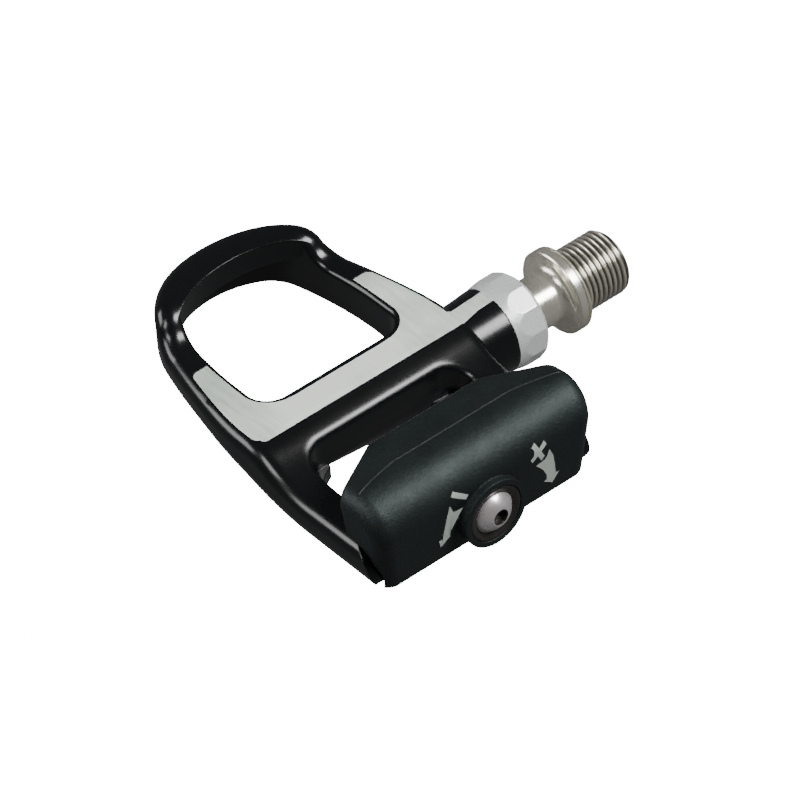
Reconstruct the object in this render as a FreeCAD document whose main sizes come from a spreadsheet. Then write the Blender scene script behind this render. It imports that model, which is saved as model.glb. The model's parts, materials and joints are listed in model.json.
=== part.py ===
import FreeCAD, Part
import math
import os
import Sketcher

# A single-sided road pedal for the left crank, in millimetres.
# The axle lies along X, with its crank thread at +X and the flange's crank face at x = 0.
# The toe points to +Y and the shoe stands on top, at +Z.

# Driving dimensions
DIMENSIONS = {
    # axle
    "thread_radius": 7.144,
    "thread_length": 12.4,
    "thread_chamfer": 0.9,
    "flange_radius": 9.3,
    "flange_thickness": 2.9,
    "flange_groove_depth": 0.35,
    "flange_groove_width": 0.4,
    "neck_radius": 5.7,
    "neck_fillet": 2.4,
    "journal_radius": 4.0,
    "tip_radius": 3.0,
    "tip_chamfer": 0.5,
    # collar nut and seal
    "collar_head_length": 7.9,
    "collar_corner_radius": 9.85,
    "collar_flat_radius": 9.53,
    "collar_seat_radius": 9.3,
    "collar_cone_length": 3.4,
    "collar_chamfer": 1.1,
    "collar_sleeve_radius": 8.0,
    "collar_sleeve_length": 6.0,
    "collar_bore_gap": 0.25,
    "seal_radius": 7.6,
    "seal_width": 2.8,
    "seal_recess": 1.0,
    # ball bearing behind the collar
    "bearing_radius": 6.0,
    "bearing_width": 3.5,
    "bearing_inner_radius": 4.65,
    "bearing_outer_wall": 0.6,
    "ball_circle_radius": 5.0,
    "ball_radius": 0.62,
    "ball_play": 0.04,
    "ball_cage_width": 1.9,
    "ball_cage_thickness": 0.4,
    "shield_thickness": 0.25,
    "shield_inset": 0.15,
    "ring_thickness": 0.8,
    "ring_radius": 4.8,
    "ring_groove_depth": 0.3,
    "ring_gap_width": 2.4,
    # needle bearing at the blind end
    "needle_shell_radius": 5.0,
    "needle_shell_wall": 0.58,
    "needle_shell_length": 9.0,
    "needle_lip_width": 0.5,
    "needle_radius": 0.68,
    "needle_length": 6.4,
    "needle_play": 0.03,
    "needle_end_gap": 4.0,
    # pedal body
    "mid_plane": 54.2,
    "cut_margin": 2.0,
    "toe_y": 48.4,
    "flank_y": 11.7,
    "flank_radius": 190.0,
    "arm_half_width": 28.1,
    "arm_front_y": 1.3,
    "arm_front_radius": 60.0,
    "lip_top": 14.9,
    "lip_underside": 9.6,
    "lip_front_radius": 28.0,
    "lip_rear_y": 38.0,
    "deck_front_y": 27.8,
    "deck_blank": 9.26,
    "deck_top": 9.11,
    "deck_milled_y": 22.6,
    "deck_rear_y": 0.5,
    "arm_top_y": 19.5,
    "loop_bottom_y": 16.9,
    "loop_bottom": 0.7,
    "arm_bottom_y": 18.7,
    "arm_bottom": 4.7,
    "edge_radius": 3.0,
    "under_radius": 4.0,
    "heel_radius": 9.0,
    "heel_low_radius": 2.6,
    "opening_half_width": 17.95,
    "opening_bar_y": 5.7,
    "opening_corner": 5.0,
    "opening_rim_radius": 1.5,
    "opening_side_y": 14.3,
    "opening_side_radius": 88.0,
    "opening_cheek_y": 37.41,
    "opening_cheek_radius": 9.5,
    "opening_toe_half_width": 10.47,
    "opening_toe_shoulder_y": 42.66,
    "opening_toe_y": 45.4,
    "hook_end_y": 34.5,
    "hook_y": 38.9,
    "window_half_width": 19.7,
    "window_front_y": 7.5,
    "window_corner": 5.0,
    "window_web": 10.0,
    "window_rim_radius": 1.5,
    "bar_bottom": 0.7,
    "relief_half_width": 13.3,
    "barrel_end": 19.2,
    "barrel_radius": 9.35,
    "barrel_small_radius": 6.2,
    "barrel_taper_end": 12.0,
    "barrel_boss_end": 23.0,
    "bore_play": 0.02,
    # claw and its hinge
    "hinge_y": 31.8,
    "hinge_z": 2.6,
    "arm_end_radius": 6.7,
    "claw_gap": 0.35,
    "pin_radius": 1.6,
    "pin_play": 0.05,
    "pin_blind_wall": 2.0,
    "pin_length": 53.2,
    "claw_front_y": 21.4,
    "claw_front_z": 14.7,
    "claw_crest_y": 42.2,
    "claw_crest_z": 17.6,
    "claw_crest_radius": 8.0,
    "claw_foot_y": 39.9,
    "claw_foot_z": 6.1,
    "claw_nose_half_width": 13.7,
    "claw_half_width": 28.6,
    "claw_end_y": 30.2,
    "claw_wall_y": 30.3,
    "claw_nose_bottom": 11.2,
    "claw_foot_half_width": 25.8,
    "claw_wall": 2.4,
    "claw_end_radius": 3.5,
    "claw_front_radius": 1.5,
    "claw_foot_radius": 2.0,
    "cavity_half_width": 17.4,
    "lug_inner": 3.8,
    "lug_outer": 7.4,
    "lug_radius": 3.4,
    # springs, screw, nut and plate
    "wire_radius": 0.8,
    "coil_radius": 3.6,
    "coil_pitch": 1.72,
    "coil_height": 7.74,
    "coil_gap": 0.35,
    "spring_leg_top": 6.8,
    "tang_depth": 2.4,
    "screw_z": 1.3,
    "screw_radius": 1.6,
    "screw_tip_y": 28.6,
    "screw_hole_radius": 1.9,
    "nut_play": 0.07,
    "head_radius": 4.4,
    "head_height": 2.4,
    "head_play": 0.05,
    "socket_half_width": 1.5,
    "socket_depth": 1.6,
    "ring_boss_radius": 7.7,
    "ring_boss_y": 42.9,
    "ring_recess_radius": 6.4,
    "ring_recess_depth": 1.3,
    "cup_radius": 6.25,
    "cup_thickness": 0.7,
    "cup_rim": 0.5,
    "nut_half_width": 3.5,
    "nut_thickness": 3.05,
    "nut_y": 30.5,
    "nut_bottom": 0.8,
    "nut_top": 6.0,
    "plate_half_width": 11.0,
    "plate_wing_z": 2.4,
    "plate_top": 8.0,
    "plate_thickness": 1.0,
}

# The part of the drop behind the deck that bends outwards
DECK_REAR_SHARE = 0.34

# Counts of repeated features
COLLAR_FLAT_COUNT = 12
BALL_COUNT = 12
NEEDLE_COUNT = 12


class Size:
    """A number that remembers the sheet formula it comes from."""

    def __init__(self, value, text):
        self.value = value
        self.text = text

    def __add__(self, other):
        other = as_size(other)
        return Size(self.value + other.value, f"({self.text} + {other.text})")

    def __sub__(self, other):
        other = as_size(other)
        return Size(self.value - other.value, f"({self.text} - {other.text})")

    def __mul__(self, other):
        other = as_size(other)
        return Size(self.value * other.value, f"({self.text} * {other.text})")

    def __truediv__(self, other):
        other = as_size(other)
        return Size(self.value / other.value, f"({self.text} / {other.text})")

    def __neg__(self):
        return Size(-self.value, f"(-{self.text})")

    def root(self):
        return Size(math.sqrt(self.value), f"sqrt({self.text})")


def as_size(number):
    if isinstance(number, Size):
        return number
    return Size(float(number), f"({float(number)!r})")


class Sizes:
    """The cells of the sheet, read by their names."""

    def __init__(self, sheet, dimensions):
        for row, (name, value) in enumerate(dimensions.items(), start=1):
            sheet.set(f"A{row}", name)
            sheet.set(f"B{row}", str(value))
            sheet.setAlias(f"B{row}", name)
            setattr(self, name, Size(float(value), f"{sheet.Name}.{name}"))


doc = FreeCAD.newDocument("pedal")
sheet = doc.addObject("Spreadsheet::Sheet", "sizes")
s = Sizes(sheet, DIMENSIONS)
doc.recompute()

# Places that several pieces share
mid = -s.mid_plane
barrel_end = -s.barrel_end
sleeve_end = barrel_end - s.collar_sleeve_length
bearing_end = sleeve_end - s.bearing_width
needle_end = mid - s.barrel_boss_end + s.needle_end_gap
needle_start = needle_end + s.needle_shell_length
hinge_y = -s.hinge_y
hinge_z = -s.hinge_z
recess_floor = -(s.ring_boss_y - s.ring_recess_depth)
cup_face = recess_floor - s.cup_thickness
plate_y = -s.nut_y - s.nut_thickness
coil_start = s.lug_outer + s.wire_radius + s.coil_gap


# Drawing helpers

def bind(feature, prop, size):
    feature.setExpression(prop, as_size(size).text)


def new_body(name):
    body = doc.addObject("PartDesign::Body", name)
    body.Label = name
    return body


def new_sketch(body, name, role, offset=None):
    sketch = body.newObject("Sketcher::SketchObject", name)
    plane = next(f for f in body.Origin.OriginFeatures if f.Role == role)
    sketch.AttachmentSupport = [(plane, "")]
    sketch.MapMode = "FlatFace"
    if offset is not None:
        bind(sketch, "AttachmentOffset.Base.z", offset)
    return sketch


def place_point(sketch, geometry, position, x, y):
    """Fixes a point of the sketch by two dimensions, or on an axis where one is zero."""
    for kind, axis, size in (("DistanceX", -2, x), ("DistanceY", -1, y)):
        if not isinstance(size, Size):
            sketch.addConstraint(Sketcher.Constraint("PointOnObject", geometry, position, axis))
            continue
        made = sketch.addConstraint(
            Sketcher.Constraint(kind, -1, 1, geometry, position, size.value))
        bind(sketch, f"Constraints[{made}]", size)


def arc_between(start, end, radius):
    """The shorter arc from start to end: it turns left for a positive radius, right for a negative one."""
    chord = end - start
    reach = math.sqrt(max(radius * radius - chord.Length ** 2 / 4, 0.0))
    side = FreeCAD.Vector(-chord.y, chord.x, 0).normalize()
    centre = (start + end) / 2 + side * math.copysign(reach, radius)
    first, last = (start, end) if radius > 0 else (end, start)
    angles = [math.atan2(p.y - centre.y, p.x - centre.x) for p in (first, last)]
    circle = Part.Circle(centre, FreeCAD.Vector(0, 0, 1), abs(radius))
    return Part.ArcOfCircle(circle, angles[0], angles[1])


def draw_outline(sketch, corners):
    """A closed outline. A corner is (x, y), or (x, y, radius) where an arc leads to the next corner."""
    points = [FreeCAD.Vector(as_size(c[0]).value, as_size(c[1]).value, 0) for c in corners]
    ends = []
    for index, corner in enumerate(corners):
        start = points[index]
        end = points[(index + 1) % len(corners)]
        if len(corner) == 2:
            made = sketch.addGeometry(Part.LineSegment(start, end), False)
            ends.append((made, 1, 2))
            continue
        radius = corner[2]
        made = sketch.addGeometry(arc_between(start, end, radius.value), False)
        bent = radius if radius.value > 0 else -radius
        size = sketch.addConstraint(Sketcher.Constraint("Radius", made, bent.value))
        bind(sketch, f"Constraints[{size}]", bent)
        ends.append((made, 1, 2) if radius.value > 0 else (made, 2, 1))
    for index, (made, begin, _) in enumerate(ends):
        before, _, finish = ends[index - 1]
        sketch.addConstraint(Sketcher.Constraint("Coincident", before, finish, made, begin))
        place_point(sketch, made, begin, corners[index][0], corners[index][1])


def draw_circle(sketch, x, y, radius):
    centre = FreeCAD.Vector(as_size(x).value, as_size(y).value, 0)
    circle = Part.Circle(centre, FreeCAD.Vector(0, 0, 1), radius.value)
    made = sketch.addGeometry(circle, False)
    size = sketch.addConstraint(Sketcher.Constraint("Radius", made, radius.value))
    bind(sketch, f"Constraints[{size}]", radius)
    place_point(sketch, made, 3, x, y)


def draw_box(sketch, x0, y0, x1, y1):
    draw_outline(sketch, [(x0, y0), (x1, y0), (x1, y1), (x0, y1)])


def draw_regular(sketch, count, flat_radius, x=None, y=None):
    """A regular polygon about a point, or about the origin, with a flat facing +x."""
    corner = flat_radius / math.cos(math.pi / count)
    outline = []
    for k in range(count):
        angle = (2 * k + 1) * math.pi / count
        across = corner * math.cos(angle)
        along = corner * math.sin(angle)
        outline.append((x + across, y + along) if x is not None else (across, along))
    draw_outline(sketch, outline)


def draw_axis(sketch, x0, x1, y):
    """A construction line along the sketch's x direction, used as an axis of turning."""
    start = FreeCAD.Vector(x0.value, y.value, 0)
    end = FreeCAD.Vector(x1.value, y.value, 0)
    made = sketch.addGeometry(Part.LineSegment(start, end), True)
    place_point(sketch, made, 1, x0, y)
    place_point(sketch, made, 2, x1, y)


def extrude(body, kind, name, sketch, length=None, both=False, back=False):
    feature = body.newObject(f"PartDesign::{kind}", name)
    feature.Profile = sketch
    if length is None:
        feature.Type = "ThroughAll"
    else:
        bind(feature, "Length", length)
    feature.Midplane = both
    feature.Reversed = back
    sketch.Visibility = False
    return feature


def spin(body, kind, name, corners):
    """Revolves a profile of (x, radius) corners about the axle, or cuts it away."""
    sketch = new_sketch(body, f"{name}_profile", "XZ_Plane")
    draw_outline(sketch, corners)
    feature = body.newObject(f"PartDesign::{kind}", name)
    feature.Profile = sketch
    feature.ReferenceAxis = (sketch, ["H_Axis"])
    feature.Angle = 360
    return feature


def spin_at_screw(body, name, corners):
    """Revolves a profile of (y, radius) corners about the tension screw's axis."""
    sketch = new_sketch(body, f"{name}_profile", "YZ_Plane", mid)
    draw_axis(sketch, -s.ring_boss_y, -s.nut_y, s.screw_z)
    placed = [(c[0], s.screw_z + c[1]) + tuple(c[2:]) for c in corners]
    draw_outline(sketch, placed)
    feature = body.newObject("PartDesign::Revolution", name)
    feature.Profile = sketch
    feature.ReferenceAxis = (sketch, ["Axis0"])
    feature.Angle = 360
    return feature


def ring_corners(x0, x1, inner, outer):
    return [(x0, inner), (x1, inner), (x1, outer), (x0, outer)]


def round_edges(body, name, radius, wanted):
    """Rounds the edges of the solid so far that the test picks."""
    doc.recompute()
    base = body.Tip
    names = [f"Edge{i}" for i, edge in enumerate(base.Shape.Edges, start=1)
             if not edge.Degenerated and wanted(edge)]
    feature = body.newObject("PartDesign::Fillet", name)
    feature.Base = (base, names)
    bind(feature, "Radius", radius)
    return feature


def middle(edge):
    return edge.valueAt((edge.FirstParameter + edge.LastParameter) / 2)


def runs_along(edge, axis):
    """True for a straight edge parallel to the axis, 0 to 2 for X to Z."""
    if not isinstance(edge.Curve, (Part.Line, Part.LineSegment)):
        return False
    return abs(abs(edge.tangentAt(edge.FirstParameter)[axis]) - 1) < 1e-6


def polar(body, feature, count):
    """Repeats the body's last feature round the axle."""
    pattern = body.newObject("PartDesign::PolarPattern", f"{feature.Name}_ring")
    pattern.Originals = [feature]
    axis = next(f for f in body.Origin.OriginFeatures if f.Role == "X_Axis")
    pattern.Axis = (axis, [""])
    pattern.Angle = 360
    pattern.Occurrences = count
    body.Tip = pattern
    return pattern


# Axle: thread, flange, neck, ball bearing seat, tapered shank and needle journal

def make_axle():
    body = new_body("axle")
    groove_floor = s.flange_radius - s.flange_groove_depth
    groove_start = -s.flange_groove_width * 1.5
    groove_end = groove_start - s.flange_groove_width
    neck_start = -(s.flange_thickness + s.neck_fillet)
    ring_start = bearing_end - s.bore_play
    ring_end = ring_start - s.ring_thickness - s.bore_play
    ring_floor = s.journal_radius - s.ring_groove_depth
    taper_start = ring_end - s.ring_thickness * 2
    tip = needle_end - s.needle_lip_width
    spin(body, "Revolution", "axle_turned", [
        (s.thread_length, 0),
        (s.thread_length, s.thread_radius - s.thread_chamfer),
        (s.thread_length - s.thread_chamfer, s.thread_radius),
        (0, s.thread_radius),
        (0, s.flange_radius),
        (groove_start, s.flange_radius),
        (groove_start, groove_floor),
        (groove_end, groove_floor),
        (groove_end, s.flange_radius),
        (-s.flange_thickness, s.flange_radius),
        (-s.flange_thickness, s.neck_radius + s.neck_fillet, -s.neck_fillet),
        (neck_start, s.neck_radius),
        (sleeve_end, s.neck_radius),
        (sleeve_end, s.journal_radius),
        (ring_start, s.journal_radius),
        (ring_start, ring_floor),
        (ring_end, ring_floor),
        (ring_end, s.journal_radius),
        (taper_start, s.journal_radius),
        (needle_start, s.tip_radius),
        (tip + s.tip_chamfer, s.tip_radius),
        (tip, s.tip_radius - s.tip_chamfer),
        (tip, 0),
    ])
    return body


# Collar nut: a coned, twelve-flat head with a sleeve that screws into the barrel

def make_collar_nut():
    body = new_body("collar_nut")
    head_end = barrel_end + s.collar_head_length
    cone_end = barrel_end + s.collar_cone_length
    bore = s.neck_radius + s.collar_bore_gap
    seal_start = head_end - s.seal_recess
    seal_end = seal_start - s.seal_width
    spin(body, "Revolution", "collar_turned", [
        (head_end, s.seal_radius),
        (head_end, s.collar_corner_radius - s.collar_chamfer),
        (head_end - s.collar_chamfer, s.collar_corner_radius),
        (cone_end, s.collar_corner_radius),
        (barrel_end, s.collar_seat_radius),
        (barrel_end, s.collar_sleeve_radius),
        (sleeve_end, s.collar_sleeve_radius),
        (sleeve_end, bore),
        (seal_end, bore),
        (seal_end, s.seal_radius),
    ])
    flats = new_sketch(body, "collar_flats_outline", "YZ_Plane", head_end)
    draw_circle(flats, 0, 0, s.collar_corner_radius * 1.2)
    draw_regular(flats, COLLAR_FLAT_COUNT, s.collar_flat_radius)
    extrude(body, "Pocket", "collar_flats", flats, s.collar_head_length)
    return body


# Lip seal: a rubber ring in the collar's mouth with a waisted lip that runs on the neck

def make_lip_seal():
    body = new_body("lip_seal")
    start = barrel_end + s.collar_head_length - s.seal_recess
    end = start - s.seal_width
    lip = s.neck_radius + s.pin_play
    waist = lip + s.collar_bore_gap * 2
    spin(body, "Revolution", "seal_turned", [
        (start, lip),
        (start, s.seal_radius),
        (end, s.seal_radius),
        (end, waist),
        (start - s.seal_width / 2, waist),
    ])
    return body


# Ball bearing: rings with raceways, balls in a pierced cage, and two shields

def raceway_corners(x0, x1, flat, rim, ball_side):
    """A ring's section with a round raceway in the wall that faces the balls."""
    centre = (x0 + x1) / 2
    groove = s.ball_radius + s.ball_play
    depth = flat - s.ball_circle_radius if ball_side > 0 else s.ball_circle_radius - flat
    half = (groove * groove - depth * depth).root()
    turn = groove if ball_side > 0 else -groove
    return [
        (x0, rim),
        (x0, flat),
        (centre - half, flat, -turn),
        (centre + half, flat),
        (x1, flat),
        (x1, rim),
    ]


def make_bearing_ring(name, flat, rim, ball_side):
    body = new_body(name)
    spin(body, "Revolution", f"{name}_turned",
         raceway_corners(bearing_end, sleeve_end, flat, rim, ball_side))
    return body


def make_ball_bearing():
    outer_flat = s.bearing_radius - s.bearing_outer_wall
    outer = make_bearing_ring("ball_bearing_outer_ring", outer_flat, s.bearing_radius, 1)
    inner = make_bearing_ring(
        "ball_bearing_inner_ring", s.bearing_inner_radius, s.journal_radius, -1)
    return [outer, inner, make_balls(), make_ball_cage(), make_shields(outer_flat)]


def make_balls():
    centre_x = (bearing_end + sleeve_end) / 2
    balls = []
    for k in range(BALL_COUNT):
        angle = 2 * math.pi * k / BALL_COUNT
        ball = doc.addObject("Part::Sphere", f"ball_{k}")
        bind(ball, "Radius", s.ball_radius)
        bind(ball, "Placement.Base.x", centre_x)
        bind(ball, "Placement.Base.y", s.ball_circle_radius * math.cos(angle))
        bind(ball, "Placement.Base.z", s.ball_circle_radius * math.sin(angle))
        balls.append(ball)
    group = doc.addObject("Part::Compound", "ball_bearing_balls")
    group.Links = balls
    group.Label = "ball_bearing_balls"
    return group


def make_ball_cage():
    body = new_body("ball_bearing_cage")
    centre_x = (bearing_end + sleeve_end) / 2
    half_width = s.ball_cage_width / 2
    half_wall = s.ball_cage_thickness / 2
    spin(body, "Revolution", "cage_turned", ring_corners(
        centre_x - half_width, centre_x + half_width,
        s.ball_circle_radius - half_wall, s.ball_circle_radius + half_wall))
    pierced = new_sketch(body, "ball_pocket_outline", "XZ_Plane")
    draw_circle(pierced, centre_x, 0, s.ball_radius + s.ball_play)
    pocket = extrude(body, "Pocket", "ball_pocket", pierced, s.bearing_radius)
    polar(body, pocket, BALL_COUNT)
    return body


def make_shields(outer_flat):
    shields = []
    inner = s.bearing_inner_radius + s.pin_play
    places = (sleeve_end - s.shield_inset, bearing_end + s.shield_inset + s.shield_thickness)
    for k, face in enumerate(places):
        body = new_body(f"shield_{k}")
        spin(body, "Revolution", f"shield_{k}_turned",
             ring_corners(face - s.shield_thickness, face, inner, outer_flat))
        shields.append(body)
    group = doc.addObject("Part::Compound", "ball_bearing_shields")
    group.Links = shields
    group.Label = "ball_bearing_shields"
    return group


# Retaining ring: an open snap ring in the axle's groove, behind the ball bearing

def make_retaining_ring():
    body = new_body("retaining_ring")
    start = bearing_end - s.bore_play
    end = start - s.ring_thickness
    spin(body, "Revolution", "ring_turned", ring_corners(
        end, start, s.journal_radius - s.ring_groove_depth + s.bore_play, s.ring_radius))
    gap = new_sketch(body, "ring_gap_outline", "YZ_Plane", start)
    draw_box(gap, -s.ring_gap_width / 2, 0, s.ring_gap_width / 2, s.ring_radius * 1.2)
    extrude(body, "Pocket", "ring_gap", gap, s.ring_thickness * 2)
    return body


# Needle bearing: a drawn shell with turned-in lips, rollers and a slotted cage

def make_needle_shell():
    body = new_body("needle_bearing_shell")
    inside = s.needle_shell_radius - s.needle_shell_wall
    lip = s.tip_radius + s.needle_radius / 2
    spin(body, "Revolution", "shell_drawn", [
        (needle_end, lip),
        (needle_end, s.needle_shell_radius),
        (needle_start, s.needle_shell_radius),
        (needle_start, lip),
        (needle_start - s.needle_lip_width, lip),
        (needle_start - s.needle_lip_width, inside),
        (needle_end + s.needle_lip_width, inside),
        (needle_end + s.needle_lip_width, lip),
    ])
    return body


def make_needle_rollers():
    circle = s.tip_radius + s.needle_play + s.needle_radius
    start_x = (needle_start + needle_end) / 2 - s.needle_length / 2
    rollers = []
    for k in range(NEEDLE_COUNT):
        angle = 2 * math.pi * k / NEEDLE_COUNT
        roller = doc.addObject("Part::Cylinder", f"needle_{k}")
        bind(roller, "Radius", s.needle_radius)
        bind(roller, "Height", s.needle_length)
        roller.Placement.Rotation = FreeCAD.Rotation(FreeCAD.Vector(0, 1, 0), 90)
        bind(roller, "Placement.Base.x", start_x)
        bind(roller, "Placement.Base.y", circle * math.cos(angle))
        bind(roller, "Placement.Base.z", circle * math.sin(angle))
        rollers.append(roller)
    group = doc.addObject("Part::Compound", "needle_rollers")
    group.Links = rollers
    group.Label = "needle_rollers"
    return group


def make_needle_cage():
    body = new_body("needle_cage")
    centre_x = (needle_start + needle_end) / 2
    half_length = s.needle_shell_length / 2 - s.needle_lip_width - s.pin_play * 2
    half_slot = s.needle_length / 2 + s.pin_play
    half_gap = s.needle_radius + s.pin_play
    circle = s.tip_radius + s.needle_play + s.needle_radius
    half_wall = s.needle_radius / 2
    spin(body, "Revolution", "needle_cage_turned", ring_corners(
        centre_x - half_length, centre_x + half_length, circle - half_wall, circle + half_wall))
    slot = new_sketch(body, "needle_slot_outline", "XY_Plane")
    draw_box(slot, centre_x - half_slot, -half_gap, centre_x + half_slot, half_gap)
    pocket = extrude(body, "Pocket", "needle_slot", slot, s.needle_shell_radius, back=True)
    polar(body, pocket, NEEDLE_COUNT)
    return body


# Pedal body: a casting whose side profile is trimmed to the plan outline, then cut through

def bulge(half_chord, rise):
    """The radius of an arc from its half chord and its rise."""
    return (half_chord * half_chord + rise * rise) / (rise * 2)


def s_curve(start, end, share=0.5):
    """Two arcs in tangent from a level start to a level end, turning left and then right."""
    run = end[0] - start[0]
    rise = end[1] - start[1]
    both = (run * run + rise * rise) / (rise * 2)
    if both.value < 0:
        both = -both
    return [
        (start[0], start[1], both * share),
        (start[0] + run * share, start[1] + rise * share, -(both * (1 - share))),
        end,
    ]


def side_profile():
    """The casting seen from the crank side, as (y, z) corners from the toe backwards."""
    arm_top = hinge_z + s.arm_end_radius
    front = s.toe_y + s.cut_margin
    rear = hinge_y - s.arm_end_radius - s.cut_margin
    run = front - s.lip_rear_y
    level = (s.lip_front_radius * s.lip_front_radius - run * run).root()
    front_top = s.lip_top - s.lip_front_radius + level
    lip = s_curve((s.lip_rear_y, s.lip_top), (s.deck_front_y, s.deck_blank))
    deck = s_curve((s.deck_rear_y, s.deck_blank), (-s.arm_top_y, arm_top), DECK_REAR_SHARE)
    ends = [(rear, arm_top), (rear, -s.arm_bottom)]
    belly = s_curve((-s.arm_bottom_y, -s.arm_bottom), (s.loop_bottom_y, s.loop_bottom))
    toe = [(front, s.loop_bottom)]
    return [(front, front_top, s.lip_front_radius)] + lip + deck + ends + belly + toe


def plan_outline():
    """The casting seen from above: straight arms, then arcs in tangent round the toe."""
    bend = s.flank_y - s.arm_front_y
    level = (s.arm_front_radius * s.arm_front_radius - bend * bend).root()
    flank_half = s.arm_half_width - s.arm_front_radius + level
    ratio = s.flank_radius / s.arm_front_radius
    flank_x = flank_half - level * ratio
    flank_centre = s.flank_y - bend * ratio
    drop = flank_centre - s.toe_y
    spare = s.flank_radius * s.flank_radius - flank_x * flank_x - drop * drop
    toe_radius = spare / ((drop + s.flank_radius) * 2)
    share = s.flank_radius / (s.flank_radius - toe_radius)
    toe_half = flank_x - flank_x * share
    toe_side = flank_centre + (s.toe_y - toe_radius - flank_centre) * share
    rear = hinge_y - s.arm_end_radius - s.cut_margin * 2
    return [
        (mid + toe_half, toe_side, toe_radius),
        (mid - toe_half, toe_side, s.flank_radius),
        (mid - flank_half, s.flank_y, s.arm_front_radius),
        (mid - s.arm_half_width, s.arm_front_y),
        (mid - s.arm_half_width, rear),
        (mid + s.arm_half_width, rear),
        (mid + s.arm_half_width, s.arm_front_y, s.arm_front_radius),
        (mid + flank_half, s.flank_y, s.flank_radius),
    ]


def heel_outline():
    """What is cut from behind the arms' rounded ends, as (y, z) corners."""
    top = hinge_z + s.arm_end_radius
    end = hinge_y - s.arm_end_radius
    far = end - s.cut_margin * 2
    return [
        (hinge_y, top, s.heel_radius),
        (end, hinge_z, s.heel_low_radius),
        (end + (s.arm_bottom + hinge_z), -s.arm_bottom),
        (end + (s.arm_bottom + hinge_z), -s.arm_bottom - s.cut_margin),
        (far, -s.arm_bottom - s.cut_margin),
        (far, top + s.cut_margin),
        (hinge_y, top + s.cut_margin),
    ]


def opening_half(place):
    """Half the toe opening's width in front of its straight sides."""
    run = place - s.opening_side_y
    level = (s.opening_side_radius * s.opening_side_radius - run * run).root()
    return s.opening_half_width - s.opening_side_radius + level


def opening_rear():
    """The toe opening's sides and bar edge, shared by the recess and the hook's mouth."""
    left = mid - s.opening_half_width
    right = mid + s.opening_half_width
    corner_y = s.opening_bar_y + s.opening_corner
    return [
        (left, s.opening_side_y),
        (left, corner_y, s.opening_corner),
        (left + s.opening_corner, s.opening_bar_y),
        (right - s.opening_corner, s.opening_bar_y, s.opening_corner),
        (right, corner_y),
        (right, s.opening_side_y, s.opening_side_radius),
    ]


def recess_outline():
    """The toe opening below the hook."""
    toe = bulge(s.opening_toe_half_width, s.opening_toe_y - s.opening_toe_shoulder_y)
    cheek = opening_half(s.opening_cheek_y)
    return opening_rear() + [
        (mid + cheek, s.opening_cheek_y, s.opening_cheek_radius),
        (mid + s.opening_toe_half_width, s.opening_toe_shoulder_y, toe),
        (mid - s.opening_toe_half_width, s.opening_toe_shoulder_y, s.opening_cheek_radius),
        (mid - cheek, s.opening_cheek_y, s.opening_side_radius),
    ]


def mouth_outline():
    """The toe opening at the hook's level, where the hook reaches back over the recess."""
    end = opening_half(s.hook_end_y)
    hook = bulge(end, s.hook_y - s.hook_end_y)
    return opening_rear() + [
        (mid + end, s.hook_end_y, hook),
        (mid - end, s.hook_end_y, s.opening_side_radius),
    ]


def window_outline(corner):
    """The gap behind the bar, between the arms, open to the rear."""
    left = mid - s.window_half_width
    right = mid + s.window_half_width
    rear = hinge_y - s.arm_end_radius * 2
    corner_y = -s.window_front_y - corner
    return [
        (right, corner_y, corner),
        (right - corner, -s.window_front_y),
        (left + corner, -s.window_front_y, corner),
        (left, corner_y),
        (left, rear),
        (right, rear),
    ]


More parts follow.
